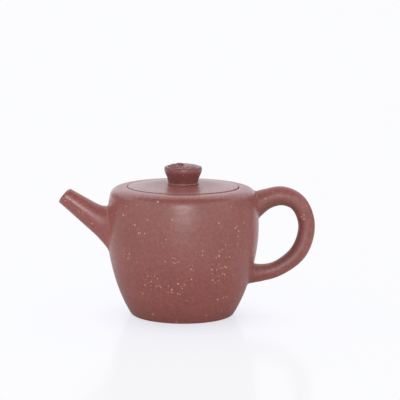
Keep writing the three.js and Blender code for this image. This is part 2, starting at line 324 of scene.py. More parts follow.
def turned(name, outline, sides=POT_SIDES, closed=True, shaped=None):
    """The mesh of an outline that is turned about +Z. A function can move its vertices."""
    vertices, faces = skin(rings_of(outline, sides), closed)
    if shaped:
        vertices = shaped(vertices)
    return mesh_of(name, vertices, faces)


def cut(mesh, tool_vertices, tool_faces, name):
    """A mesh with a closed tool cut out of it."""
    whole = stand(name + "_whole", mesh)
    tool = stand(name + "_tool", mesh_of(name + "_tool", tool_vertices, tool_faces))
    boolean = whole.modifiers.new("cut", "BOOLEAN")
    boolean.operation = "DIFFERENCE"
    boolean.solver = "EXACT"
    boolean.object = tool
    made = applied(whole)
    made.name = name
    bpy.data.objects.remove(tool)
    made.shade_smooth()
    made.set_sharp_from_angle(angle=math.radians(CREASE))
    return made


def piece(name, mesh, body, node, material):
    """A piece of the object: it rides on a body and stands for a node of the frame."""
    made = stand(name, mesh)
    mesh.materials.clear()
    mesh.materials.append(material)
    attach(made, body)
    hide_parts(node)


# Where a luted piece runs into the clay that carries it


def measure(outline, points):
    """Distance of points outside a turned outline, the nearest places on it and the normals there.

    The outline is listed so that the clay is on its left: upwards for an outer face, and
    downwards for an inner one.
    """
    away = np.hypot(points[:, 0], points[:, 1])
    flat = np.stack([away, points[:, 2]], 1)
    start = outline[:-1]
    along = outline[1:] - start
    share = ((flat[:, None] - start) * along).sum(2) / (along**2).sum(1)
    near = start + np.clip(share, 0, 1)[..., None] * along
    off = flat[:, None] - near
    gaps = np.hypot(off[..., 0], off[..., 1])
    pick = gaps.argmin(1)
    row = np.arange(len(points))
    along = along[pick] / np.linalg.norm(along[pick], axis=1)[:, None]
    normal = np.stack([along[:, 1], -along[:, 0]], 1)
    distance = gaps[row, pick] * np.sign((off[row, pick] * normal).sum(1))
    out = points[:, :2] / np.maximum(away, 1e-9)[:, None]
    place = np.column_stack([out * near[row, pick, :1], near[row, pick, 1]])
    facing = np.column_stack([out * normal[:, :1], normal[:, 1]])
    return distance, place, facing


def lengths(line):
    return np.concatenate([[0], np.cumsum(np.linalg.norm(np.diff(line, axis=0), axis=1))])


def at_length(line, wanted):
    """Points of a line at distances along it."""
    done = lengths(line)
    return np.stack([np.interp(wanted, done, line[:, k]) for k in range(3)], 1)


def crossing(line, outline, depth=0.0):
    """How far along a line, listed from the air, it comes to a depth in the clay."""
    distance, _, _ = measure(outline, line)
    below = np.nonzero(distance < -depth)[0]
    k = below[0]
    share = (distance[k - 1] + depth) / (distance[k - 1] - distance[k])
    done = lengths(line)
    return done[k - 1] + share * (done[k] - done[k - 1])


def run_out(lines, outwards, outline, reach, spread, air_rings):
    """Rings over lines that start in the air, curve out on the clay, and end buried in it."""
    sides = len(lines)
    rings = np.zeros((air_rings + FILLET_RINGS + 1, sides, 3))
    for i in range(sides):
        meets = crossing(lines[i], outline)
        rings[:air_rings, i] = at_length(lines[i], np.linspace(0, meets - reach[i], air_rings))
        corner = at_length(lines[i], [meets])
        _, _, facing = measure(outline, corner)
        aside = outwards[i] - (outwards[i] @ facing[0]) * facing[0]
        aside /= np.linalg.norm(aside)
        _, place, facing = measure(outline, corner + spread[i] * aside)
        end = place[0] - SKIN * facing[0]
        curve = bezier([rings[air_rings - 1, i], corner[0], end], FILLET_RINGS)
        rings[air_rings:-1, i] = curve[1:]
        rings[-1, i] = place[0] - BURIED * facing[0]
    return list(rings)


def run_in(lines, outline, count):
    """Rings over lines that start in the air and go straight on until they are buried in the clay."""
    rings = [at_length(line, np.linspace(0, crossing(line, outline, BURIED), count)) for line in lines]
    return list(np.stack(rings, 1))


def buried(ring, outline):
    """A ring moved to the depth at which luted ends sit in the clay."""
    _, place, facing = measure(outline, ring)
    return place - BURIED * facing


def closing(ring, outline):
    """Rings that close a buried end, in the clay all the way to its middle."""
    middle = ring.mean(0)
    made = []
    for k in range(1, CLOSING_RINGS):
        made.append(buried(middle + (ring - middle) * (1 - k / CLOSING_RINGS), outline))
    return made + [buried(middle[None], outline)]


# Pieces of the pot


def body_wall():
    inner = INSIDE[::-1]
    outline = np.concatenate(
        [
            OUTSIDE[: len(FOOT) + len(LOWER_WALL) + len(UPPER_WALL) - 2],
            [(SHOULDER_RADIUS - WALL, SHOULDER_HEIGHT)],
            inner,
            bezier([inner[-1], (26.6, BASE_THICKNESS + 0.3), (25.2, BASE_THICKNESS)], 6)[1:],
            [(BASE_RADIUS, BASE_THICKNESS), (BASE_RADIUS, 0.0)],
        ]
    )
    whole = turned("wall_whole", outline, shaped=by_hand)
    drill = rod([spout_ring(s, WALL_HOLE_RADIUS) for s in WALL_HOLE_REACH])
    return cut(whole, *drill, "wall")


def base_disc():
    """The bottom is hollowed a little inside the ring that the pot stands on."""
    hollow = 0.35
    face = bezier([(0, hollow), (BASE_RADIUS * 0.55, hollow), (19.5, 0.02), (21.4, 0.0)], 16)
    outline = np.concatenate(
        [face, [(BASE_RADIUS, 0.0), (BASE_RADIUS, BASE_THICKNESS), (0, BASE_THICKNESS)]]
    )
    return turned("base", outline, closed=False)


def shoulder_plate():
    lip = 0.45
    top = POT_HEIGHT
    inner = rounded(
        [
            (MOUTH_RADIUS + 0.4, top, 0),
            (MOUTH_RADIUS, top, lip),
            (MOUTH_RADIUS, LEDGE_HEIGHT, 0),
            (SEAT_OUTER + 0.8, LEDGE_HEIGHT, 0),
            (SHOULDER_RADIUS - WALL, SHOULDER_HEIGHT, 0),
            (SHOULDER_RADIUS, SHOULDER_HEIGHT, 0),
        ]
    )
    outline = np.concatenate([SHOULDER[:-1], inner[1:-1]])
    return turned("shoulder", outline, shaped=by_hand)


def lid_seat_ring():
    bottom = LEDGE_HEIGHT - SEAT_THICKNESS
    outline = rounded(
        [
            (SEAT_INNER, bottom, 0.9),
            (SEAT_OUTER, bottom, 0.9),
            (SEAT_OUTER, LEDGE_HEIGHT, 0),
            (SEAT_INNER, LEDGE_HEIGHT, 0.5),
        ]
    )
    return turned("seat", outline, shaped=by_hand)


def spout_ring(s, radius):
    """A ring round the spout's line, at a distance from the tip, with the tip's own tilt near it.

    It starts at the top.
    """
    turn = angles(SPOUT_SIDES)
    out = np.outer(np.cos(turn), SPOUT_UP) + np.outer(np.sin(turn), (0, 1, 0))
    lean = radius * np.cos(turn) * math.tan(TIP_TILT) * max(1 - s / TIP_TILT_FADE, 0)
    return SPOUT_TIP + np.outer(s + lean, SPOUT_AHEAD) + radius * out


def spout_outside(s):
    flare = max(s - FLARE_START, 0) / (SPOUT_LENGTH - FLARE_START)
    return TIP_RADIUS + TAPER * s + FLARE * flare**1.5


def spout_bore(s):
    return TIP_RADIUS - TIP_WALL + (TAPER - WALL_GAIN) * s


def around(pair, sides):
    """A value that goes smoothly from the first at the top to the second below, and back."""
    return pair[1] + (pair[0] - pair[1]) * (0.5 + 0.5 * np.cos(angles(sides)))


def spout():
    lip = 0.95
    steps = np.linspace(lip, SPOUT_LINE, SPOUT_STEPS)
    outer = np.stack([spout_ring(s, spout_outside(s)) for s in steps], 1)
    near_tip = 5  # the step whose way out from the axis the fillet follows
    outwards = outer[:, near_tip] - (SPOUT_TIP + steps[near_tip] * SPOUT_AHEAD)
    reach = around(SPOUT_REACH, SPOUT_SIDES)
    spread = around(SPOUT_SPREAD, SPOUT_SIDES)
    rings = run_out(outer, outwards, OUTSIDE, reach, spread, SPOUT_RINGS)
    bore = np.stack([spout_ring(s, spout_bore(s)) for s in steps], 1)
    inner = run_in(bore, OUTSIDE, BORE_RINGS)
    end = inner[-1]
    middle = [buried(end + (rings[-1] - end) * share, OUTSIDE) for share in (0.75, 0.5, 0.25)]
    mouth = bezier(
        [
            (spout_bore(lip), lip),
            (spout_bore(0) - 0.02, -0.28),
            (TIP_RADIUS + 0.02, -0.28),
            (spout_outside(lip), lip),
        ],
        12,
    )[1:-1]
    tip = [spout_ring(s, radius) for radius, s in mouth]
    return mesh_of("spout", *skin(rings + middle + inner[::-1] + tip, closed=True), SOFT_CREASE)


def strainer_dome():
    """A pierced dome over the hole in the wall, with its foot run out on the wall's inner face."""
    turn = angles(STRAINER_SIDES)
    out = np.stack([np.zeros(STRAINER_SIDES), np.sin(turn), np.cos(turn)], 1)
    room = INSIDE[::-1]
    shells = []
    for radius in (DOME_RADIUS, DOME_RADIUS - DOME_WALL):
        arc = np.linspace(0.06, math.pi / 2, DOME_RINGS)
        skirt = [-2, -4, -6, -8]
        rise = np.concatenate([radius * np.cos(arc), skirt])
        wide = np.concatenate([radius * np.sin(arc), [radius] * len(skirt)])
        shells.append(DOME_CENTRE + rise[None, :, None] * (1, 0, 0) + wide[None, :, None] * out[:, None])
    reach = np.full(STRAINER_SIDES, STRAINER_REACH)
    spread = np.full(STRAINER_SIDES, STRAINER_SPREAD)
    outer = run_out(shells[0], out, room, reach, spread, DOME_RINGS)
    inner = run_in(shells[1], room, DOME_RINGS)
    pole = DOME_CENTRE + (DOME_RADIUS, 0, 0)
    inner_pole = DOME_CENTRE + (DOME_RADIUS - DOME_WALL, 0, 0)
    rings = [pole[None]] + outer + inner[::-1] + [inner_pole[None]]
    whole = mesh_of("strainer_whole", *skin(rings, closed=False))
    drills = []
    for holes, tilt in DRAIN_RINGS:
        for k in range(holes):
            drills.append(drain(math.radians(tilt), 2 * math.pi * k / holes))
    return cut(whole, *together(drills), "strainer")


def drain(tilt, round_axis):
    """A small drill through the dome, at an angle from the dome's axis and round it."""
    turn = angles(DRAIN_SIDES)
    ring = DRAIN_RADIUS * np.stack([np.zeros(DRAIN_SIDES), np.cos(turn), np.sin(turn)], 1)
    aim = Matrix.Rotation(round_axis, 3, "X") @ Matrix.Rotation(tilt, 3, "Z")
    rings = [ring + (reach, 0, 0) for reach in (DOME_RADIUS - 2 * DOME_WALL, DOME_RADIUS + DOME_WALL)]
    vertices, faces = rod(rings)
    return vertices @ np.array(aim).T + DOME_CENTRE, faces


def through(stations, per_span):
    """A centripetal Catmull-Rom curve through stations."""
    p = np.concatenate([[2 * stations[0] - stations[1]], stations, [2 * stations[-1] - stations[-2]]])
    made = []
    for a, b, c, d in zip(p, p[1:], p[2:], p[3:]):
        before, here, after = (math.sqrt(np.linalg.norm(v - u)) for u, v in ((a, b), (b, c), (c, d)))
        leave = (b - a) / before - (c - a) / (before + here) + (c - b) / here
        arrive = (c - b) / here - (d - b) / (here + after) + (d - c) / after
        t = np.linspace(0, 1, per_span, endpoint=False)[:, None]
        leave, arrive = leave * here, arrive * here
        square = -3 * b + 3 * c - 2 * leave - arrive
        cube = 2 * b - 2 * c + leave + arrive
        made.append(b + leave * t + square * t**2 + cube * t**3)
    return np.concatenate(made + [stations[-1:]])


def smoothed(values, width):
    """A running mean with soft weights; the ends stay."""
    reach = np.arange(-3 * width, 3 * width + 1)
    weights = np.exp(-(reach**2) / (2 * width**2))
    ends = [np.repeat(values[:1], 3 * width, 0), values, np.repeat(values[-1:], 3 * width, 0)]
    long = np.concatenate(ends)
    return np.stack([np.convolve(column, weights / weights.sum(), "valid") for column in long.T], 1)


def handle():
    """A round coil along its centre line, with both ends run out on the wall."""
    line = through(HANDLE_STATIONS[:, :2], HANDLE_STEPS)
    spans = np.stack([np.arange(len(HANDLE_STATIONS), dtype=float), HANDLE_STATIONS[:, 2]], 1)
    radius = through(spans, HANDLE_STEPS)[:, 1]
    course = smoothed(np.column_stack([line, radius]), 4)
    along = np.gradient(course[:, :2], axis=0)
    along /= np.linalg.norm(along, axis=1)[:, None]
    outer = np.stack([-along[:, 1], np.zeros(len(along)), along[:, 0]], 1)
    turn = angles(HANDLE_SIDES)
    centre = np.stack([course[:, 0], np.zeros(len(course)), course[:, 1]], 1)
    lines = []
    for a in turn:
        out = np.cos(a) * outer + np.sin(a) * np.array([0, 1, 0])
        lines.append(centre + out * course[:, 2:])
    half = len(course) // 2
    root = 12  # steps from an end of the course to where it leaves the wall
    reach = around(HANDLE_REACH, HANDLE_SIDES)
    spread = around(HANDLE_SPREAD, HANDLE_SIDES)
    ends = []
    for halves, place in (([g[half::-1] for g in lines], root), ([g[half:] for g in lines], -1 - root)):
        out = np.cos(turn)[:, None] * outer[place] + np.sin(turn)[:, None] * np.array([0, 1, 0])
        ends.append(run_out(halves, out, OUTSIDE, reach, spread, HANDLE_RINGS))
    upper, lower = ends
    rings = closing(upper[-1], OUTSIDE)[::-1] + upper[::-1] + lower[1:] + closing(lower[-1], OUTSIDE)
    return mesh_of("handle", *skin(rings, closed=False), SOFT_CREASE)


# Pieces of the lid

LID_SHIFT = np.array([-0.08, 0.09, 0.0])  # the plate lies a little off the mouth's middle
LID_TILT = (0.0028, -0.0036)  # and rises by this much along X and Y


def laid(points):
    """The lid's plate as it lies in the mouth."""
    rise = points[:, :2] @ LID_TILT
    return points + np.outer(rise, (0, 0, 1)) + LID_SHIFT


def lid_disc():
    edge = 0.36
    dome = bezier(
        [
            (LID_RADIUS - edge, LID_EDGE_HEIGHT),
            (24, LID_EDGE_HEIGHT + 0.5),
            (19, LID_DOME_HEIGHT),
            (KNOB_RING_RADIUS, LID_DOME_HEIGHT),
        ],
        40,
    )
    shoulder = bezier(
        [(LID_RADIUS, LID_EDGE_HEIGHT - edge), (LID_RADIUS, LID_EDGE_HEIGHT - 0.03), dome[0]], 6
    )
    under = bezier(
        [(VENT_RADIUS, LID_UNDER_DOME), (11, LID_UNDER_DOME), (17, 65.8), (FLANGE_INNER, LID_BOTTOM)], 20
    )
    outline = np.concatenate(
        [
            [(LID_RADIUS - 0.3, LID_BOTTOM), (LID_RADIUS, LID_BOTTOM + 0.3)],
            shoulder,
            dome[1:],
            [(VENT_RADIUS, LID_DOME_HEIGHT)],
            under,
        ]
    )
    return turned("lid_disc", outline, shaped=laid)


def lid_flange():
    outline = rounded(
        [
            (FLANGE_INNER, FLANGE_BOTTOM, 0.8),
            (FLANGE_OUTER, FLANGE_BOTTOM, 0.8),
            (FLANGE_OUTER, LID_BOTTOM + 0.1, 0),
            (FLANGE_INNER, LID_BOTTOM + 0.1, 0),
        ]
    )
    return turned("flange", outline)


def knob_foot_ring():
    top = LID_DOME_HEIGHT + KNOB_RING_HEIGHT
    outline = rounded(
        [
            (KNOB_SPIGOT_RADIUS, LID_DOME_HEIGHT - 0.1, 0),
            (KNOB_RING_RADIUS - 0.6, LID_DOME_HEIGHT - 0.1, 0),
            (KNOB_RING_RADIUS - 0.5, LID_DOME_HEIGHT + 0.22, 0.12),
            (KNOB_RING_RADIUS, LID_DOME_HEIGHT + 0.3, 0.12),
            (KNOB_RING_RADIUS - 0.14, top, 0.16),
            (KNOB_SPIGOT_RADIUS, top, 0),
        ]
    )
    return turned("knob_ring", outline, KNOB_SIDES)


PINCHES = ((0.07, 5, 0.4), (0.06, 8, 1.9), (0.04, 13, 0.0))  # how far, how often around, from where
PINCH_FOOT = 73.5
PINCH_RISE = 3.5  # they come up over this height
PINCH_REACH = 1.2  # and over this way out from the dish


def pressed(points):
    """The unevenness of the knob's cap, whose rim was pinched by hand."""
    x, y, z = points.T
    turn = np.arctan2(y, x)
    wave = sum(size * np.sin(count * turn + start) for size, count, start in PINCHES)
    cap = np.clip((z - PINCH_FOOT) / PINCH_RISE, 0, 1)
    cap *= np.clip((np.hypot(x, y) - DISH_RADIUS) / PINCH_REACH, 0, 1)
    out = np.stack([np.cos(turn), np.sin(turn), np.full(len(x), 0.6)], 1)
    return points + out * (wave * cap)[:, None]


def knob():
    """A stem that widens into a cap with a rounded rim and a shallow dish."""
    foot = LID_DOME_HEIGHT + KNOB_RING_HEIGHT
    cap_foot = (9.3, 75.0)
    stem_top = (STEM_TOP_RADIUS, STEM_TOP_HEIGHT)
    neck = bezier([(STEM_FOOT_RADIUS, foot), (8.05, 72.2), stem_top, cap_foot], 20)
    cheek = bezier([cap_foot, (9.62, 75.65), (CAP_RADIUS, 76.3), (CAP_RADIUS, CAP_MIDDLE_HEIGHT)], 10)
    rim = bezier(
        [
            (CAP_RADIUS, CAP_MIDDLE_HEIGHT),
            (CAP_RADIUS, CAP_RIM_HEIGHT - 0.3),
            (CAP_RADIUS - 0.5, CAP_RIM_HEIGHT + 0.05),
            (CAP_RADIUS - 1.1, CAP_RIM_HEIGHT),
        ],
        14,
    )
    dish = bezier([rim[-1], (CAP_RADIUS - 1.6, CAP_RIM_HEIGHT - 0.05), (DISH_RADIUS, DISH_HEIGHT)], 6)
    outline = np.concatenate(
        [
            [(KNOB_SPIGOT_RADIUS, LID_DOME_HEIGHT), (KNOB_SPIGOT_RADIUS, foot)],
            neck,
            cheek[1:],
            rim[1:],
            dish[1:],
            [(VENT_RADIUS, DISH_HEIGHT), (VENT_RADIUS, LID_DOME_HEIGHT)],
        ]
    )
    return turned("knob", outline, KNOB_SIDES, shaped=pressed)


# The relief in the knob's dish: mounds of centre, half sizes, and turns about X, Y and Z in degrees
MOUNDS = [
    ((3.9, -1.5, 79.3), (4.2, 3.7, 0.6), (9, 4, -6)),
    ((3.2, 2.2, 79.55), (4.3, 2.4, 0.6), (-5, 4, -8)),
    ((3.5, -0.3, 78.5), (4.9, 5.2, 1.1), (0, 0, 0)),
    ((-2.0, 3.3, 79.0), (2.9, 2.2, 1.3), (0, 0, 10)),
    ((-5.2, 1.3, 78.95), (2.4, 3.6, 1.05), (0, -9, 0)),
    ((-5.0, -4.2, 78.6), (2.8, 1.2, 0.8), (0, 0, -35)),
    ((-2.6, -0.8, 78.5), (2.5, 3.2, 0.95), (0, 0, 0)),
    ((5.5, -4.5, 78.5), (2.8, 1.2, 0.85), (0, 0, 33)),
    ((0.2, -6.4, 78.5), (0.9, 1.7, 0.7), (0, 0, 0)),
]
RELIEF_TURN = -5  # degrees: the relief faces the camera, like the spout's tip
SEED_BED = np.array([-2.5, -0.4, 79.15])  # the first of the seeds, which wind out from it
SEEDS = 13
SEED_RADIUS = 0.5
SEED_SPREAD = 0.95
SEED_TURN = 2.4  # radians from one seed to the next
BED_LENGTH = 1.15  # along Y, for a width of 1
BED_DROOP = 0.09  # how much lower a seed lies, over the square of its distance
PAD_RADIUS = 7.5
PAD_THICKNESS = 0.5
RELIEF_VOXEL = 0.13
SOFTENING = 0.5
SOFTENING_ROUNDS = 5
VENT_REACH = (70, 90)  # the heights that the vent's drill starts and ends at


def ball(centre, size, turns=(0, 0, 0), sides=MOUND_SIDES):
    """An ellipsoid as vertices and faces, turned about its centre by degrees about X, Y and Z."""
    heights = np.linspace(-1, 1, sides // 2 + 1)
    outline = np.stack([np.cos(heights * math.pi / 2), np.sin(heights * math.pi / 2)], 1)
    outline[[0, -1], 0] = 0
    vertices, faces = skin(rings_of(outline, sides), closed=False)
    aim = Euler([math.radians(a) for a in turns]).to_matrix()
    return vertices * size @ np.array(aim).T + centre, faces


def cylinder(radius, heights, sides):
    low, high = heights
    return skin(rings_of([(0, low), (radius, low), (radius, high), (0, high)], sides), closed=False)


def knob_relief():
    """Mounds fused and softened as if pressed from one bit of clay, clear of the vent."""
    shapes = [ball(*mound) for mound in MOUNDS]
    for k in range(SEEDS):
        reach = SEED_SPREAD * math.sqrt(k)
        aside = np.array([math.cos(k * SEED_TURN), BED_LENGTH * math.sin(k * SEED_TURN), 0])
        middle = SEED_BED + reach * aside - (0, 0, BED_DROOP * reach**2)
        shapes.append(ball(middle, (SEED_RADIUS,) * 3, sides=SEED_SIDES))
    shapes.append(cylinder(PAD_RADIUS, (DISH_HEIGHT, DISH_HEIGHT + PAD_THICKNESS), KNOB_SIDES))
    vertices, faces = together(shapes)
    mesh = bpy.data.meshes.new("relief")
    mesh.from_pydata(vertices.tolist(), [], faces)
    rough = stand("relief_rough", mesh)
    fuse = rough.modifiers.new("fuse", "REMESH")
    fuse.mode = "VOXEL"
    fuse.voxel_size = RELIEF_VOXEL
    soften = rough.modifiers.new("soften", "SMOOTH")
    soften.factor = SOFTENING
    soften.iterations = SOFTENING_ROUNDS
    fused = applied(rough)
    fused.transform(Matrix.Diagonal((MM, MM, MM, 1)) @ Matrix.Rotation(math.radians(RELIEF_TURN), 4, "Z"))
    return cut(fused, *cylinder(VENT_RADIUS, VENT_REACH, VENT_SIDES), "relief")


# Materials


class Nodes:
    """Makes nodes and links them, so that a material reads as a list of steps."""

    def __init__(self, material):
        material.use_nodes = True
        self.tree = material.node_tree
        self.tree.nodes.clear()

    def add(self, kind, inputs=None, **settings):
        node = self.tree.nodes.new(kind)
        for name, value in settings.items():
            setattr(node, name, value)
        for name, value in (inputs or {}).items():
            if isinstance(value, bpy.types.NodeSocket):
                self.tree.links.new(value, node.inputs[name])
            else:
                node.inputs[name].default_value = value
        return node

    def math(self, operation, a, b=0.0, clamp=False):
        node = self.add("ShaderNodeMath", {0: a, 1: b}, operation=operation, use_clamp=clamp)
        return node.outputs[0]

    def between(self, value, low, high, to_low=0.0, to_high=1.0, smooth=False):
        node = self.add(
            "ShaderNodeMapRange",
            {"Value": value, "From Min": low, "From Max": high, "To Min": to_low, "To Max": to_high},
            interpolation_type="SMOOTHSTEP" if smooth else "LINEAR",
        )
        return node.outputs["Result"]

    def vector(self, operation, a, b=(0.0, 0.0, 0.0)):
        """What an operation on two vectors makes: a number for a distance or length, or else a vector."""
        node = self.add("ShaderNodeVectorMath", {0: a, 1: b}, operation=operation)
        return node.outputs["Value" if operation in ("DISTANCE", "LENGTH") else "Vector"]

    def mix(self, share, a, b):
        """A number between two others."""
        return self.add("ShaderNodeMix", {"Factor": share, "A": a, "B": b}).outputs[0]

    def blend(self, share, a, b):
        """A colour between two others."""
        node = self.add("ShaderNodeMix", {"Factor": share}, data_type="RGBA")
        for k, value in ((6, a), (7, b)):
            if isinstance(value, bpy.types.NodeSocket):
                self.tree.links.new(value, node.inputs[k])
            else:
                node.inputs[k].default_value = value
        return node.outputs[2]

    def shade(self, kind, inputs=None):
        """A shader of a kind, or one that is made of others."""
        return self.add("ShaderNode" + kind, inputs).outputs[0]

    def noise(self, where, per_mm, detail, roughness):
        node = self.add(
            "ShaderNodeTexNoise",
            {"Vector": where, "Scale": per_mm, "Detail": detail, "Roughness": roughness},
        )
        return node.outputs["Fac"]


def linear(red, green, blue):
    """A screen's colour, 0 to 255, as light."""
    made = []
    for value in (red, green, blue):
        v = value / 255
        made.append(v / 12.92 if v <= 0.04045 else ((v + 0.055) / 1.055) ** 2.4)
    return (*made, 1.0)


def scaled(colour, factor):
    return (*(min(c * factor, 1.0) for c in colour[:3]), 1.0)


# Where the sand lies thickest in wall, spout and handle: place and reach in millimetres
SWARMS = [
    ((-31.5, -24.5, 54.5), 3.5),
    ((-28.0, -28.5, 51.5), 3.0),
    ((-24.0, -32.0, 48.5), 2.5),
    ((-20.6, -33.7, 58.0), 1.6),
    ((-12.2, -38.2, 45.0), 2.0),
    ((-30.9, -24.7, 35.5), 3.0),
    ((-8.0, -38.4, 34.5), 3.5),
    ((1.0, -38.7, 32.0), 2.5),
    ((6.6, -39.0, 38.5), 2.0),
    ((15.0, -36.0, 37.5), 4.0),
    ((19.0, -33.5, 32.0), 6.0),
    ((15.0, -34.8, 27.5), 4.0),
    ((24.5, -31.5, 50.5), 3.0),
    ((5.4, -36.7, 24.5), 1.6),
    ((-19.0, -31.5, 22.5), 5.0),
    ((-6.0, -35.0, 19.5), 5.0),
    ((13.5, -30.8, 13.0), 3.5),
    ((30.0, 21.0, 44.0), 8.0),
    ((-18.0, 33.0, 30.0), 9.0),
    ((10.0, 37.0, 52.0), 6.0),
    ((-63.0, -3.0, 64.0), 2.5),
    ((-53.0, -6.0, 57.0), 2.0),
    ((50.0, -4.5, 65.0), 2.5),
    ((64.0, -4.0, 53.0), 2.0),
]
KNOB_SWARMS = [((-0.8, -9.8, 76.4), 1.6), ((-1.2, -2.0, 79.0), 3.4)]
SWARM_SHARE = 0.8  # of the grains that a swarm's middle shows
SAND = (0.76, 0.42, 0.25, 1.0)
GRAINS = (0.58, (0.3, 0.62))  # cells per millimetre with a grain in each, and the grains' radii
DUST = (0.95, (0.16, 0.34))
DUST_CROWD = 0.3
CROWDS = (0.05, 2.0, 0.5)  # changes per millimetre of how thick it lies, detail and roughness
GRAIN_EDGE = 0.1  # millimetres over which a grain fades out


def sand(n, where, per_mm, sizes, crowd):
    """Grains of sand: where they are, and a random value for each of them."""
    cells = n.add("ShaderNodeTexVoronoi", {"Vector": where, "Scale": per_mm}, feature="F1")
    lot = n.add("ShaderNodeSeparateColor", {"Color": cells.outputs["Color"]}).outputs
    size = n.between(lot["Green"], 0.0, 1.0, sizes[0] * per_mm, sizes[1] * per_mm)
    edge = n.math("SUBTRACT", size, cells.outputs["Distance"])
    chosen = n.math("LESS_THAN", lot["Red"], crowd)
    grains = n.math("MULTIPLY", n.between(edge, 0.0, GRAIN_EDGE * per_mm, smooth=True), chosen)
    return grains, lot["Blue"]


def crowding(n, where, swarms, least):
    """The share of grains that show: a little everywhere, and most of them in the swarms."""
    crowd = n.between(n.noise(where, *CROWDS), 0.45, 0.75, least, 3 * least)
    for centre, reach in swarms:
        away = n.vector("DISTANCE", where, centre)
        swarm = n.between(away, 0.6 * reach, 1.5 * reach, SWARM_SHARE, 0.0, smooth=True)
        crowd = n.math("MAXIMUM", crowd, swarm)
    return crowd


# The unevenness of the clay: changes per millimetre, detail and roughness of each noise
PATCHES = (0.045, 4.0, 0.55)
CLOUDS = (0.22, 4.0, 0.6)
SPECKLE = (0.62, 3.0, 0.62)
WAVES = (0.16, 2.0, 0.5)
FINE = (1.2, 4.0, 0.75)
PARING = (1.0, 2.0, 0.6)
TURNING = (0.3, 1.0, 0.5)
PARING_STRETCH = (0.12, 0.12, 0.9)  # the marks run around the pot
PITS_PER_MM = 0.8
PIT_EDGE = (0.24, 0.1)  # in cells, from where a pit starts to where it is deepest

# Tones, as factors of the clay's own colour, and the largest share of each
PATCH_TONES = (0.93, 1.07)
CLOUD_TONE, CLOUD_SHARE = 0.88, 0.35
PALE_TONE, PALE_SHARE = 1.5, 0.36
DARK_TONE, DARK_SHARE = 0.55, 0.32
PIT_TONE, PIT_SHARE = 0.55, 0.35
# painted shade: how much darker the clay is painted where less light falls, and the largest share of it
PAINTED_SHADE_TONE, PAINTED_SHADE_SHARE = 0.5, 0.45
# painted shade: how dark the clay is painted in the gap of a seam
SEAM_SHADE_TONE = 0.6
DUST_SHARE = 0.22
FAINT_GRAIN = 0.55  # the share of sand in the faintest grain

# Heights and depths in millimetres
WAVE_HEIGHT = 0.08
FINE_HEIGHT = 0.03
PIT_DEPTH = 0.03
GRAIN_HEIGHT = 0.012
PARING_HEIGHT = 0.045
TURNING_HEIGHT = 0.12

# What is added to the clay's own roughness
FINE_ROUGHNESS = (-0.05, 0.07)
GRAIN_ROUGHNESS = 0.2
SEAM_ROUGHNESS = 0.3

CLAY_IOR = 1.6
DIFFUSE_ROUGHNESS = 0.7


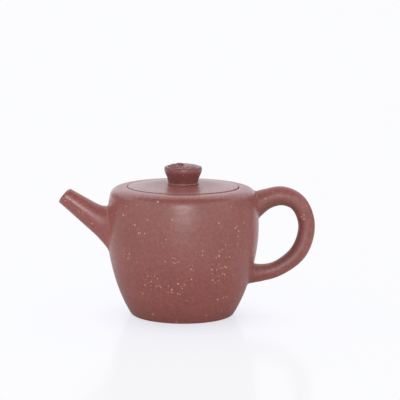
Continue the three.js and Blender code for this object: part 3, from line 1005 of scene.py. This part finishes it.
def clay(
    name,
    colour,
    roughness,
    least_sand=0.03,
    grain=1.0,
    swarms=(),
    ripple=0.0,
    seam=None,
    polish=None,
    painted_shade=None,
):
    """Unglazed clay: mottled, fine grained, with grains of pale sand that come in swarms.

    A seam is the two radii in millimetres between which the clay is painted darker, as shade in the gap,
    and rougher.
    A polish is a place, two distances from it, and how much rougher the clay is at the second than at the
    first. A painted shade is a place, how the distance from it is stretched along X, Y and Z, and where
    the darker clay fades out.
    """
    material = bpy.data.materials.new(name)
    n = Nodes(material)
    where = n.add("ShaderNodeTexCoord").outputs["Object"]
    where = n.add("ShaderNodeMapping", {"Vector": where, "Scale": (1 / MM,) * 3}).outputs[0]
    radius = n.vector("LENGTH", n.vector("MULTIPLY", where, (1, 1, 0)))

    speckle = n.noise(where, *SPECKLE)
    pits = n.add("ShaderNodeTexVoronoi", {"Vector": where, "Scale": PITS_PER_MM}, feature="F1")
    pit = n.between(pits.outputs["Distance"], *PIT_EDGE, smooth=True)
    patches = n.between(n.noise(where, *PATCHES), 0.3, 0.7)
    base = n.blend(patches, *(scaled(colour, tone) for tone in PATCH_TONES))
    tones = [
        (n.between(n.noise(where, *CLOUDS), 0.25, 0.75, 0.0, CLOUD_SHARE), CLOUD_TONE),
        (n.between(speckle, 0.5, 0.7, 0.0, PALE_SHARE * grain), PALE_TONE),
        (n.between(speckle, 0.5, 0.3, 0.0, DARK_SHARE * grain), DARK_TONE),
        (n.math("MULTIPLY", pit, PIT_SHARE), PIT_TONE),
    ]
    for share, tone in tones:
        base = n.blend(share, base, scaled(colour, tone))

    dust, _ = sand(n, where, *DUST, DUST_CROWD)
    base = n.blend(n.math("MULTIPLY", dust, DUST_SHARE), base, SAND)
    grains, paleness = sand(n, where, *GRAINS, crowding(n, where, swarms, least_sand))
    shown = n.math("MULTIPLY", grains, n.between(paleness, 0.0, 1.0, FAINT_GRAIN, 1.0))
    base = n.blend(shown, base, SAND)

    fine = n.noise(where, *FINE)
    heights = [
        (n.noise(where, *WAVES), WAVE_HEIGHT),
        (fine, FINE_HEIGHT * grain),
        (pit, -PIT_DEPTH * grain),
        (grains, GRAIN_HEIGHT),
    ]
    if ripple:
        level = n.add("ShaderNodeMapping", {"Vector": where, "Scale": PARING_STRETCH}).outputs[0]
        rings = n.add("ShaderNodeCombineXYZ", {"Z": n.math("MULTIPLY", radius, PARING_STRETCH[2])})
        level = n.vector("ADD", level, rings.outputs[0])
        heights.append((n.noise(level, *PARING), PARING_HEIGHT * ripple))
        heights.append((n.noise(level, *TURNING), TURNING_HEIGHT * ripple))
    height = 0.0
    for wave, most in heights:
        height = n.math("ADD", n.math("MULTIPLY", wave, most), height)
    normal = n.add("ShaderNodeBump", {"Height": height, "Strength": 1.0, "Distance": MM}).outputs[0]

    rough = n.between(fine, 0.3, 0.7, *(roughness + change for change in FINE_ROUGHNESS))
    rough = n.math("ADD", rough, n.math("MULTIPLY", grains, GRAIN_ROUGHNESS))
    if polish:
        centre, near, far, gain = polish
        away = n.vector("DISTANCE", where, centre)
        rough = n.math("ADD", rough, n.between(away, near, far, 0.0, gain, smooth=True))
    # painted shade: the clay is painted darker near a place, where less light falls
    if painted_shade:
        centre, stretch, near, far = painted_shade
        away = n.vector("LENGTH", n.vector("MULTIPLY", n.vector("SUBTRACT", where, centre), stretch))
        share = n.between(away, near, far, PAINTED_SHADE_SHARE, 0.0, smooth=True)
        base = n.blend(share, base, scaled(colour, PAINTED_SHADE_TONE))
    if seam:
        # painted shade: the clay is painted darker in the gap of the seam
        seam_shade = n.between(radius, *seam, smooth=True)
        base = n.blend(seam_shade, base, scaled(colour, SEAM_SHADE_TONE))
        rough = n.math("ADD", rough, n.math("MULTIPLY", seam_shade, SEAM_ROUGHNESS))
    surface = {"Base Color": base, "Roughness": rough, "Normal": normal, "IOR": CLAY_IOR}
    surface["Diffuse Roughness"] = DIFFUSE_ROUGHNESS
    n.add("ShaderNodeOutputMaterial", {"Surface": n.shade("BsdfPrincipled", surface)})
    return material


# Colours of the clay, as light
BODY = (0.328, 0.099, 0.082, 1.0)
# painted light: the body's clay made lighter for the spout, which takes more light from below
SPOUT = (0.362, 0.107, 0.091, 1.0)
INNER = (0.290, 0.090, 0.075, 1.0)
LID = (0.305, 0.094, 0.084, 1.0)
# painted shade: the body's clay made darker for the knob and its relief
KNOB = (0.250, 0.075, 0.066, 1.0)

LID_MIDDLE = (0.0, 0.0, LID_EDGE_HEIGHT)
ALL_ROUND = (0.0, 0.0, 1.0)  # the stretch of a painted shade that only goes by height

body_clay = clay(
    "rubbed_clay",
    BODY,
    0.31,
    swarms=SWARMS,
    ripple=1.0,
    # painted shade: the wall is painted darker towards the foot, where less light falls
    painted_shade=((0.0, 0.0, 0.0), ALL_ROUND, -6.0, 16.0),
)
shoulder_clay = clay(
    "shoulder_clay",
    BODY,
    0.31,
    least_sand=0.015,
    ripple=1.0,
    # painted shade in the gap round the mouth
    seam=(MOUTH_RADIUS + 0.06, MOUTH_RADIUS - 0.06),
    polish=(LID_MIDDLE, 33.0, 38.0, -0.08),
)
# painted light in the spout's lighter clay
spout_clay = clay("spout_clay", SPOUT, 0.12, swarms=SWARMS, polish=(tuple(SPOUT_TIP), 4.0, 26.0, 0.26))
handle_clay = clay(
    "handle_clay",
    BODY,
    0.38,
    grain=1.2,
    swarms=SWARMS,
    # painted shade: the handle is painted darker on the inner side of its loop
    painted_shade=((50.0, 0.0, 44.8), (1.0, 0.3, 0.75), 11.8, 15.3),
)
inner_clay = clay("dry_clay", INNER, 0.7, grain=1.5)
lid_clay = clay(
    "lid_clay",
    LID,
    0.37,
    least_sand=0.01,
    ripple=0.8,
    # painted shade in the gap round the lid's edge
    seam=(LID_RADIUS - 0.3, LID_RADIUS + 0.05),
    polish=(LID_MIDDLE, 12.0, 27.0, -0.1),
)
knob_clay = clay(
    "knob_clay",
    KNOB,
    0.33,
    swarms=KNOB_SWARMS,
    # painted shade: the knob is painted darker round its stem, under the overhanging cap
    painted_shade=((0.0, 0.0, 71.0), ALL_ROUND, 1.0, 6.5),
)
relief_clay = clay(
    "relief_clay",
    KNOB,
    0.24,
    least_sand=0.01,
    grain=0.6,
    swarms=KNOB_SWARMS,
    polish=((5.0, -2.5, 79.5), 4.0, 7.0, 0.36),
)


# Assembly

piece("pot_wall", body_wall(), "pot", "body_wall", body_clay)
piece("pot_base", base_disc(), "pot", "base_disc", inner_clay)
piece("pot_shoulder", shoulder_plate(), "pot", "shoulder_plate", shoulder_clay)
piece("pot_lid_seat", lid_seat_ring(), "pot", "lid_seat_ring", inner_clay)
piece("pot_strainer", strainer_dome(), "pot", "strainer_dome", inner_clay)
piece("pot_spout", spout(), "pot", "spout", spout_clay)
piece("pot_handle", handle(), "pot", "handle", handle_clay)
piece("lid_plate", lid_disc(), "lid", "lid_disc", lid_clay)
piece("lid_collar", lid_flange(), "lid", "lid_flange", inner_clay)
piece("lid_knob_ring", knob_foot_ring(), "lid", "knob_foot_ring", lid_clay)
piece("lid_knob", knob(), "lid", "knob", knob_clay)
piece("lid_relief", knob_relief(), "lid", "knob_relief", relief_clay)


# Floor, backdrop and light

WHITE = linear(251, 251, 253)

# Floor, as the camera sees it: white paper with the pot's shadow and mirror image
FLOOR_REACH = 6.0  # metres
FLOOR_DROP = 0.05  # millimetres under the foot
SHADOW_MIDDLE = (0.0, -0.006, 0.0)
SHADOW_SHARES = ((0.026, 0.5), (0.05, 0.2), (0.1, 0.04), (0.24, 0.0))  # metres from its middle, share
SHADOW_COLOUR = (0.72, 0.72, 0.9, 1.0)
OPEN_LEVEL = 0.62  # how much of its own light the paper loses in the shadow
MIRROR_SHARE = 0.06
MIRROR_ROUGHNESS = 0.16

# Floor, as the pot's clay and gloss see it: plain paper close by, and white farther off
PAPER = (0.60, 0.61, 0.64, 1.0)
SHADED_GLOSS_PAPER = (0.5, 0.5, 0.51, 1.0)  # the paper that shows in the gloss close by, painted darker as the pot's shadow on the floor
NEAR_FLOOR = (0.05, 0.18)  # metres from the axis where it is all plain, and all white
FLOOR_DUSK = 0.42  # how much duller the white shows at the pot's sides
DUSK_ASIDE = (0.08, 0.22)  # metres to the side where that starts, and where it is full
DUSK_DEPTH = (0.3, 0.1)  # and the same before and behind the pot

# Studio around the pot, as the strength of its light
FRONT_WALL = 1.25
BACK_WALL = (1.34, 1.12)  # at the spout's side and at the handle's
CEILING = 0.32  # dull, over and before the pot
SIDE_GAPS = 0.35  # dull, on both sides of the sheet behind the pot
COOL = (0.93, 0.95, 1.0, 1.0)  # the sheet's colour
DUSK = (0.75, 0.85, 1.0, 1.0)  # the ceiling's colour

# Where its parts begin and where they are full, as parts of a unit vector that is turned with the
# camera: across to the handle's side, deep to the back, and high
CEILING_HIGH = (0.5, 0.75)
CEILING_DEEP = (0.35, 0.05)
BACK_DEEP = (-0.3, 0.3)
BACK_ACROSS = (-0.4, 0.4)
SIDES_ACROSS = (0.35, 0.6)
SIDES_DEEP = (-0.5, 0.35)
SIDES_HIGH = (0.5, 0.2)

LAMP_PLACE = (0.04, -1.4, 0.33)  # metres
LAMP_AIM = (0, 0, 0.05)
LAMP_SIZE = (0.66, 0.62)
LAMP_POWER = 4.4  # watts


def seen_share(n, path):
    """Whether a ray comes from the camera, straight or through something clear."""
    return n.math("ADD", path["Is Camera Ray"], path["Is Transmission Ray"], clamp=True)


def lighting_paper(n, path, place, away):
    """The floor as light and as the pot's gloss meet it."""
    far = n.between(away, *NEAR_FLOOR, smooth=True)
    # painted shade: the gloss sees darker paper close to the pot, as its shadow on the floor
    near_gloss = n.math("MULTIPLY", path["Is Glossy Ray"], n.math("SUBTRACT", 1.0, far))
    colour = n.blend(near_gloss, PAPER, SHADED_GLOSS_PAPER)
    paper = n.shade("BsdfPrincipled", {"Base Color": colour, "Roughness": 0.3, "IOR": 1.4})
    parts = n.add("ShaderNodeSeparateXYZ", {"Vector": place}).outputs
    dusk = n.between(n.math("ABSOLUTE", parts["X"]), *DUSK_ASIDE, 0.0, FLOOR_DUSK, smooth=True)
    dusk = n.math("MULTIPLY", dusk, n.between(n.math("ABSOLUTE", parts["Y"]), *DUSK_DEPTH, smooth=True))
    white = n.shade("Emission", {"Color": WHITE, "Strength": n.math("SUBTRACT", 1.0, dusk)})
    far_gloss = n.math("MULTIPLY", path["Is Glossy Ray"], far)
    return n.shade("MixShader", {0: far_gloss, 1: paper, 2: white})


def seen_paper(n, place):
    """The floor as the camera sees it."""
    shadow = 0.0
    away = n.vector("DISTANCE", place, SHADOW_MIDDLE)
    for (start, share), (end, next_share) in zip(SHADOW_SHARES, SHADOW_SHARES[1:]):
        shadow = n.math("ADD", n.between(away, start, end, share - next_share, 0.0), shadow)
    rest = n.math("SUBTRACT", 1.0, n.math("MULTIPLY", shadow, OPEN_LEVEL))
    sheet = n.shade("Emission", {"Color": WHITE, "Strength": rest})
    dim = n.shade("BsdfDiffuse", {"Color": n.blend(shadow, (0, 0, 0, 1), SHADOW_COLOUR)})
    sheet = n.shade("AddShader", {0: sheet, 1: dim})
    mirror = n.shade("BsdfGlossy", {"Color": WHITE, "Roughness": MIRROR_ROUGHNESS})
    return n.shade("MixShader", {0: MIRROR_SHARE, 1: sheet, 2: mirror})


def floor():
    """A pale floor that is clear from below and under the base, so that the underside can be looked at."""
    material = bpy.data.materials.new("paper")
    n = Nodes(material)
    path = n.add("ShaderNodeLightPath").outputs
    ground = n.add("ShaderNodeNewGeometry").outputs
    place = ground["Position"]
    away = n.vector("LENGTH", place)
    lighting = lighting_paper(n, path, place, away)
    shown = n.shade("MixShader", {0: seen_share(n, path), 1: lighting, 2: seen_paper(n, place)})
    open_here = n.math("MAXIMUM", ground["Backfacing"], n.math("LESS_THAN", away, FOOT_RADIUS * MM))
    shown = n.shade("MixShader", {0: open_here, 1: shown, 2: n.shade("BsdfTransparent")})
    n.add("ShaderNodeOutputMaterial", {"Surface": shown})
    mesh = bpy.data.meshes.new("floor")
    square = np.array([(-1, -1, 0), (1, -1, 0), (1, 1, 0), (-1, 1, 0)])
    corners = FLOOR_REACH * square - (0, 0, FLOOR_DROP * MM)
    mesh.from_pydata(corners.tolist(), [], [(0, 1, 2, 3)])
    mesh.materials.append(material)
    stand("floor", mesh)


def world():
    """White walls around the pot, and a dull ceiling over and before it that the camera never sees."""
    made = bpy.data.worlds.new("studio")
    bpy.context.scene.world = made
    n = Nodes(made)
    seen = seen_share(n, n.add("ShaderNodeLightPath").outputs)
    way = n.add("ShaderNodeTexCoord").outputs["Generated"]
    way = n.add("ShaderNodeMapping", {"Vector": way, "Rotation": (0, 0, STUDIO_TURN)}).outputs[0]
    way = n.add("ShaderNodeSeparateXYZ", {"Vector": way}).outputs
    across, deep, high = way["X"], way["Y"], way["Z"]
    ceiling = n.between(high, *CEILING_HIGH, smooth=True)
    ceiling = n.math("MULTIPLY", ceiling, n.between(deep, *CEILING_DEEP, smooth=True))
    behind = n.between(deep, *BACK_DEEP, smooth=True)
    aside = n.between(n.math("ABSOLUTE", across), *SIDES_ACROSS, smooth=True)
    aside = n.math("MULTIPLY", aside, n.between(deep, *SIDES_DEEP, smooth=True))
    aside = n.math("MULTIPLY", aside, n.between(high, *SIDES_HIGH, smooth=True))
    walls = n.mix(behind, FRONT_WALL, n.between(across, *BACK_ACROSS, *BACK_WALL, smooth=True))
    room = n.mix(ceiling, n.mix(aside, walls, SIDE_GAPS), CEILING)
    colour = n.blend(n.math("SUBTRACT", behind, seen, clamp=True), WHITE, COOL)
    colour = n.blend(n.math("SUBTRACT", ceiling, seen, clamp=True), colour, DUSK)
    back = n.shade("Background", {"Color": colour, "Strength": n.mix(seen, room, 1.0)})
    n.add("ShaderNodeOutputWorld", {"Surface": back})


def lamp():
    """A soft lamp before the pot."""
    light = bpy.data.lights.new("front_lamp", "AREA")
    light.shape = "RECTANGLE"
    light.size, light.size_y = LAMP_SIZE
    light.energy = LAMP_POWER
    made = stand("front_lamp", light)
    facing = (Vector(LAMP_AIM) - Vector(LAMP_PLACE)).to_track_quat("-Z", "Y").to_matrix().to_4x4()
    upright = Matrix.Translation(LAMP_PLACE) @ facing
    made.matrix_world = Matrix.Rotation(-STUDIO_TURN, 4, "Z") @ upright


def camera():
    data = bpy.data.cameras.new("camera")
    data.sensor_width = CAMERA_SENSOR
    data.lens = CAMERA_LENS
    data.clip_start, data.clip_end = CAMERA_CLIP
    made = stand("camera", data)
    back = Vector((0, -math.cos(CAMERA_ELEVATION), math.sin(CAMERA_ELEVATION)))
    place = (Vector(CAMERA_AIM) + CAMERA_DISTANCE * back) * MM
    tilt = Matrix.Rotation(math.pi / 2 - CAMERA_ELEVATION, 4, "X")
    upright = Matrix.Translation(place) @ tilt @ Matrix.Rotation(CAMERA_ROLL, 4, "Z")
    made.matrix_world = Matrix.Rotation(-STUDIO_TURN, 4, "Z") @ upright
    bpy.context.scene.camera = made


floor()
world()
camera()
lamp()

bpy.context.scene.view_settings.view_transform = "Standard"
